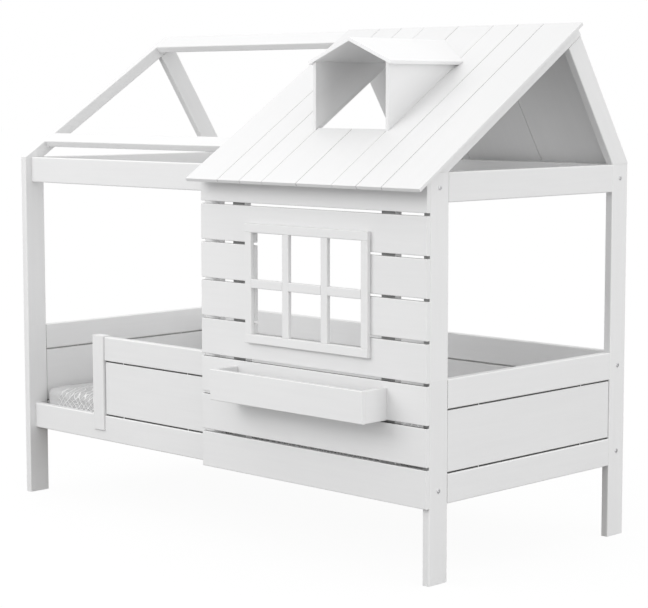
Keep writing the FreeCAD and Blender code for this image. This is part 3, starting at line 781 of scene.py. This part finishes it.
def puffed(cover, held_indices):
    """Blow the cover up between its held lines with a cloth simulation, within the two limits."""
    start = [vert.co.copy() for vert in cover.data.vertices]
    pins = cover.vertex_groups.new(name="held")
    pins.add(held_indices, 1.0, "REPLACE")
    modifier = cover.modifiers.new("cloth", "CLOTH")
    settings = modifier.settings
    settings.quality = 5
    settings.mass = 0.25
    settings.tension_stiffness = 12
    settings.compression_stiffness = 12
    settings.shear_stiffness = 6
    settings.bending_stiffness = 0.6
    settings.vertex_group_mass = "held"
    settings.shrink_min = COVER_SLACK
    settings.use_pressure = True
    settings.uniform_pressure_force = 3.0
    settings.effector_weights.gravity = 0.0
    modifier.collision_settings.use_self_collision = False
    modifier.point_cache.frame_start = 1
    modifier.point_cache.frame_end = CLOTH_FRAMES
    for number in range(1, CLOTH_FRAMES + 1):
        bpy.context.scene.frame_set(number)
    evaluated = cover.evaluated_get(bpy.context.evaluated_depsgraph_get())
    blown = [vert.co.copy() for vert in evaluated.data.vertices]
    cover.modifiers.remove(modifier)
    bpy.context.scene.frame_set(1)
    for vert, first, last in zip(cover.data.vertices, start, blown):
        move = last - first
        move.x = min(max(move.x, -SIDE_LIMIT), SIDE_LIMIT)
        move.y = min(max(move.y, -SIDE_LIMIT), SIDE_LIMIT)
        move.z = min(max(move.z, -PUFF_LIMIT), PUFF_LIMIT)
        vert.co = first + move


def raised_lattice(tree):
    """The cover's criss-cross of thick threads, which starts some way in from both ends."""
    place = put(tree, "ShaderNodeTexCoord").outputs["Object"]
    wobble = put(tree, "ShaderNodeTexNoise", {"Vector": place, "Scale": 14.0, "Detail": 2.0}).outputs["Color"]
    bent = vector_maths(tree, "MULTIPLY_ADD", wobble, (0.03, 0.03, 0.03), place)
    cords = []
    for degrees in (36.0, -40.0):
        turn = math.radians(degrees)
        across = turned_place(tree, bent, (0.4, turn, turn))
        cords.append(wave(tree, across, {"Scale": 18.0, "Distortion": 1.4}, wave_profile="SIN"))
    threads = put(tree, "ShaderNodeMapRange", {
        "Value": maths(tree, "MAXIMUM", *cords), "From Min": 0.72, "From Max": 0.97},
        interpolation_type="SMOOTHSTEP").outputs["Result"]
    x = put(tree, "ShaderNodeSeparateXYZ", {0: place}).outputs["X"]
    from_middle = maths(tree, "SUBTRACT", x, (mattress_low.x + mattress_high.x) / 2)
    reach = (mattress_high.x - mattress_low.x) / 2 - LATTICE_START
    within = put(tree, "ShaderNodeMapRange", {
        "Value": maths(tree, "ABSOLUTE", from_middle), "From Min": reach + LATTICE_FADE,
        "From Max": reach - LATTICE_FADE}).outputs["Result"]
    return maths(tree, "MULTIPLY", threads, within), CORD_COLOUR, CORD_RELIEF


cover_mesh, held_indices = cover_shell()
mattress = linked_piece("mattress_cover", cover_mesh)
puffed(mattress, held_indices)
finer = mattress.modifiers.new("finer", "SUBSURF")
finer.levels = 1
finer.render_levels = 1
bpy.context.view_layer.update()
smooth_cover = bpy.data.meshes.new_from_object(mattress.evaluated_get(bpy.context.evaluated_depsgraph_get()))
mattress.modifiers.remove(finer)
mattress.data = smooth_cover
mattress.vertex_groups.clear()
smooth_cover.shade_smooth()
lay_weave(smooth_cover)
smooth_cover.materials.clear()
smooth_cover.materials.append(
    cotton("cover_cotton", (0.57, 0.57, 0.572), (0.46, 0.46, 0.463), 0.0022, 45.0, raised_lattice))
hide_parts("mattress")
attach(mattress, "mattress")


def stitch_paths():
    """Polylines just over the cover's top, one for each quilting line."""
    mesh = bpy.data.meshes.new("stitch_paths")
    points = []
    edges = []
    for slant in (1, -1):
        first = 0 if slant < 0 else -QUILT_CELLS_ACROSS
        for start in range(first, QUILT_CELLS_ALONG + QUILT_CELLS_ACROSS, QUILT_PITCH):
            line = []
            for j in range(QUILT_CELLS_ACROSS + 1):
                i = start + slant * j
                if 0 <= i <= QUILT_CELLS_ALONG:
                    line.append((*top_spot(i, j)[0], mattress_high.z))
            if len(line) > 1:
                base = len(points)
                points += line
                edges += [(base + k, base + k + 1) for k in range(len(line) - 1)]
    mesh.from_pydata(points, edges, [])
    return mesh


def stitch_group():
    """Even stitches along every path, laid on the cover."""
    group, given = node_group("lay_stitches", [
        ("Cover", "NodeSocketObject"), ("Step", "NodeSocketFloat"), ("Thread", "NodeSocketFloat"),
        ("Finish", "NodeSocketMaterial")])
    lines = put(group, "GeometryNodeMeshToCurve", {"Mesh": given["Geometry"]})
    even = put(group, "GeometryNodeResampleCurve", mode="LENGTH")
    group.links.new(lines.outputs["Curve"], even.inputs["Curve"])
    group.links.new(given["Step"], even.inputs["Length"])
    cover = put(group, "GeometryNodeObjectInfo", {"Object": given["Cover"]})
    nearest = put(group, "GeometryNodeProximity", {0: cover.outputs["Geometry"]}, target_element="FACES")
    laid = put(group, "GeometryNodeSetPosition", {
        "Geometry": even.outputs["Curve"], "Position": nearest.outputs["Position"]})
    tangent = put(group, "GeometryNodeInputTangent")
    turn = put(group, "FunctionNodeAlignEulerToVector", {"Vector": tangent.outputs["Tangent"]}, axis="X")
    ball = put(group, "GeometryNodeMeshIcoSphere", {"Radius": 1.0, "Subdivisions": 1})
    half_stitch = maths(group, "MULTIPLY", given["Step"], STITCH_SHARE)
    size = put(group, "ShaderNodeCombineXYZ", {"X": half_stitch, "Y": given["Thread"], "Z": given["Thread"]})
    copies = put(group, "GeometryNodeInstanceOnPoints", {
        "Points": laid.outputs["Geometry"], "Instance": ball.outputs["Mesh"],
        "Rotation": turn.outputs["Rotation"], "Scale": size.outputs[0]})
    hand_out(group, copies.outputs["Instances"], given["Finish"])
    return group


stitch_cotton = cotton("stitch_cotton", (0.62, 0.62, 0.622), (0.50, 0.50, 0.503), 0.0018, 30.0)
stitches = grown("mattress_stitches", stitch_paths(), stitch_group(),
                 {"Cover": mattress, "Step": STITCH_STEP, "Thread": STITCH_THREAD, "Finish": stitch_cotton})
lay_weave(stitches.data)
stitches.data.shade_smooth()
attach(stitches, "mattress")

# ---------------------------------------------------------------------------
# Gable frame: beams and ties on the posts' tops, rafters whose feet stand on
# the posts, one purlin in the front slope and a ridge board, same timber.
# ---------------------------------------------------------------------------
for beam in ("top_beam_front", "top_beam_back", "purlin", "ridge_board"):
    lacquered(beam, ALONG_X)
for end in ("left", "right"):
    lacquered("gable_tie_" + end, ALONG_Y)
    lacquered("rafter_front_" + end, UP_FRONT_SLOPE)
    lacquered("rafter_back_" + end, DOWN_BACK_SLOPE)

# ---------------------------------------------------------------------------
# Roof: thin boards side by side up the front slope, three wide boards down
# the back slope on a cleat, and the dormer's cheeks and two roof boards.
# ---------------------------------------------------------------------------
BOARD_BREAK = 0.0006
SEAM_SHADE = 0.6                            # how dark the painted shade in the seams between boards is
SEAM_FACING = 0.95                          # leaves out the small bevels along a seam
# the roof's copy of the white lacquer is painted darker, as painted shade, and the dormer roof's lighter, as
# painted light, for how light falls on them
roof_lacquer = white_lacquer("roof_lacquer", (0.757, 0.757, 0.758), (0.728, 0.728, 0.730), 0.46)
dormer_painted_light_lacquer = white_lacquer("dormer_painted_light_lacquer", (0.855, 0.855, 0.856), (0.83, 0.83, 0.832), 0.44)


def seams_within(node):
    """Painted shade for the faces of a run of boards that look into its seams, not out at its two sides."""
    low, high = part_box(node)

    def gap_depth(face):
        x = face.calc_center_median().x
        inside = low.x + FACE_MARGIN < x < high.x - FACE_MARGIN
        return SEAM_SHADE if abs(face.normal.x) > SEAM_FACING and inside else 0.0

    return gap_depth


for boards in ("roof_boards_left", "roof_boards_dormer", "roof_boards_right"):
    run = lacquered(boards, UP_FRONT_SLOPE, roof_lacquer, BOARD_BREAK, seams_within(boards))
lacquered("roof_back_boards", DOWN_BACK_SLOPE, soften=BOARD_BREAK)
lacquered("roof_back_cleat", ALONG_X)
for side in ("left", "right"):
    lacquered("dormer_cheek_" + side, UP_FRONT_SLOPE, roof_lacquer, BOARD_BREAK)
    lacquered("dormer_roof_" + side, ALONG_Y, dormer_painted_light_lacquer, BOARD_BREAK)

# ---------------------------------------------------------------------------
# House front: eight planks screwed to two battens, notched round a window
# with a flat frame and halved bars, and a planter box below it.
# ---------------------------------------------------------------------------
PLANK_COUNT = 8
PLANK_EDGE_SHADE = 0.55                     # painted shade on the planks' edges
OVER_MATTRESS_EDGE_SHADE = 0.97                 # and on those between the mattress and the posts' seam
SEAM_MARGIN = 0.01                          # edges just past that seam get it too
seam_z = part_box("post_front_left_lower")[1].z


def plank_edge(face):
    """Painted shade on the upper and lower edges of a plank, stronger over the mattress and up to the posts'
    seam.
    """
    if abs(face.normal.z) <= FACING:
        return 0.0
    over_mattress = mattress_high.z < face.calc_center_median().z < seam_z + SEAM_MARGIN
    return OVER_MATTRESS_EDGE_SHADE if over_mattress else PLANK_EDGE_SHADE


for count in range(1, PLANK_COUNT + 1):
    plank = lacquered("wall_plank_" + str(count), ALONG_X, soften=BOARD_BREAK, gap_depth=plank_edge)
for side in ("left", "right"):
    # the battens' front faces get painted shade where they show between the planks
    lacquered("wall_batten_" + side, ALONG_Z, gap_depth=behind_wall)
for board in ("window_frame", "window_bars", "planter_front", "planter_bottom"):
    lacquered(board, ALONG_X, soften=BOARD_BREAK)
lacquered("planter_ends", ALONG_Y, soften=BOARD_BREAK)

# ---------------------------------------------------------------------------
# Fasteners: socket-headed bolts through the posts into the rails, the screws
# that hold the wall's planks, driven from behind through the battens, and the
# lacquered pegs that keep each framed panel level between its rails.
# ---------------------------------------------------------------------------
BOLT_RADIUS = 0.0075
BOLT_HEAD = 0.0020
BOLT_SHANK = 0.0030
BOLT_LENGTH = 0.090
SOCKET_HALF = 0.0030                        # half of the socket's width across its flats
SCREW_RADIUS = 0.0042
SCREW_PLACES = (0.25, 0.75)                 # of the way up a plank
SCREW_MARGIN = 0.01                         # clear of the rail below and the beam above
TURN_STEPS = 36
PEG_RADIUS = 0.0016
PEG_PLACES = (0.19, 0.81)                   # of the way along the panel
PEG_EXTRA = 0.0006                          # how much longer a peg is than its gap
PANEL_GAP = 0.005
TONGUE_HEIGHT = 0.013                       # tongue past the panel's edge, groove floor included


def turned(name, rings):
    """A closed turned piece along X from (x, radius call) rings, capped at both ends."""
    bm = bmesh.new()
    loops = []
    for x, radius in rings:
        loop = []
        for k in range(TURN_STEPS):
            angle = 2 * math.pi * k / TURN_STEPS
            loop.append(bm.verts.new((x, radius(angle) * math.cos(angle), radius(angle) * math.sin(angle))))
        loops.append(loop)
    for loop, after in zip(loops, loops[1:]):
        for k in range(TURN_STEPS):
            following = (k + 1) % TURN_STEPS
            bm.faces.new((loop[k], loop[following], after[following], after[k]))
    bm.faces.new(loops[0])
    bm.faces.new(loops[-1][::-1])
    bmesh.ops.recalc_face_normals(bm, faces=bm.faces)
    mesh = mesh_from(bm, name)
    smooth_faces(mesh)
    return linked_piece(name, mesh)


def circle(radius):
    """The radius of a round outline at any angle."""
    return lambda angle: radius


def hexagon(half):
    """The radius of a hexagon at an angle; half is half its width across the flats."""
    return lambda angle: half / math.cos((angle % (math.pi / 3)) - math.pi / 6)


def cross_slot(radius):
    """The radius of a soft-armed cross at an angle."""
    return lambda angle: radius * (0.55 + 0.45 * abs(math.cos(2 * angle)) ** 3)


bolt_form = turned("bolt", [
    (BOLT_LENGTH, circle(BOLT_SHANK * 0.8)), (BOLT_LENGTH - 0.001, circle(BOLT_SHANK)),
    (0, circle(BOLT_SHANK)), (0, circle(BOLT_RADIUS)), (-BOLT_HEAD * 0.6, circle(BOLT_RADIUS)),
    (-BOLT_HEAD * 0.88, circle(BOLT_RADIUS * 0.96)), (-BOLT_HEAD, circle(BOLT_RADIUS * 0.88)),
    (-BOLT_HEAD, hexagon(SOCKET_HALF * 1.08)), (-BOLT_HEAD * 0.9, hexagon(SOCKET_HALF)),
    (0.0005, hexagon(SOCKET_HALF)), (0.0012, circle(SOCKET_HALF * 0.5))])
left_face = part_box("post_front_left_lower")[0].x
right_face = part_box("post_front_right_lower")[1].x
bolt_rows = []
for rail in ("front_side_rail", "back_bottom_rail", "back_top_rail", "top_beam_front", "top_beam_back"):
    rail_low, rail_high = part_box(rail)
    middle = (rail_low + rail_high) / 2
    bolt_rows.append(((left_face, middle.y, middle.z), 0.0))
    bolt_rows.append(((right_face, middle.y, middle.z), math.pi))
bolts = fastened("frame_bolt_heads", bolt_form, bolt_rows, zinc_plate)
smooth_faces(bolts.data)
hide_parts("frame_bolts")
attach(bolts, "bed_frame")

screw_form = turned("screw", [
    (-0.008, circle(0.0012)), (-0.003, circle(0.0016)), (-0.0004, circle(SCREW_RADIUS)),
    (0.0002, circle(SCREW_RADIUS * 0.98)), (0.0005, circle(SCREW_RADIUS * 0.8)),
    (0.0005, cross_slot(SCREW_RADIUS * 0.62)), (-0.0012, cross_slot(SCREW_RADIUS * 0.45))])
rail_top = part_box("front_side_rail")[1].z
beam_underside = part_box("top_beam_front")[0].z
screw_rows = []
for side in ("left", "right"):
    batten_low, batten_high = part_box("wall_batten_" + side)
    middle_x = (batten_low.x + batten_high.x) / 2
    for count in range(1, PLANK_COUNT + 1):
        plank_low, plank_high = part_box("wall_plank_" + str(count))
        for share in SCREW_PLACES:
            z = plank_low.z + share * (plank_high.z - plank_low.z)
            if rail_top + SCREW_MARGIN < z < beam_underside - SCREW_MARGIN:
                screw_rows.append(((middle_x, batten_high.y, z), math.pi / 2))
screws = fastened("batten_screws", screw_form, screw_rows, zinc_plate)
smooth_faces(screws.data)
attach(screws, "bed_frame")

peg_form = bmesh.new()
bmesh.ops.create_cone(peg_form, cap_ends=True, segments=16, radius1=PEG_RADIUS, radius2=PEG_RADIUS,
                      depth=PANEL_GAP + PEG_EXTRA)
peg = linked_piece("panel_peg", mesh_from(peg_form, "panel_peg"))
peg_rows = []
for panel_node, along, across in (("head_panel", ALONG_Y, ALONG_X), ("foot_panel", ALONG_Y, ALONG_X),
                                  ("back_panel", ALONG_X, ALONG_Y), ("guard_panel", ALONG_X, ALONG_Y)):
    panel_low, panel_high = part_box(panel_node)
    middle = (panel_low + panel_high) / 2
    run = (panel_high - panel_low).dot(along)
    lower_gap = panel_low.z + TONGUE_HEIGHT - PANEL_GAP / 2
    upper_gap = panel_high.z - TONGUE_HEIGHT + PANEL_GAP / 2
    for share in PEG_PLACES:
        for height in (lower_gap, upper_gap):
            for face_side in (-1, 1):
                out = across * face_side * (TONGUE_REACH + PEG_RADIUS / 2)
                place = middle + along * run * (share - 0.5) + out
                peg_rows.append(((place.x, place.y, height), 0.0))
pegs = fastened("panel_pegs", peg, peg_rows, frame_lacquer)
peg_mesh = bmesh.new()
peg_mesh.from_mesh(pegs.data)
lay_grain(peg_mesh, "panel_pegs", ALONG_Z, None)
peg_mesh.to_mesh(pegs.data)
peg_mesh.free()
smooth_faces(pegs.data)
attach(pegs, "bed_frame")
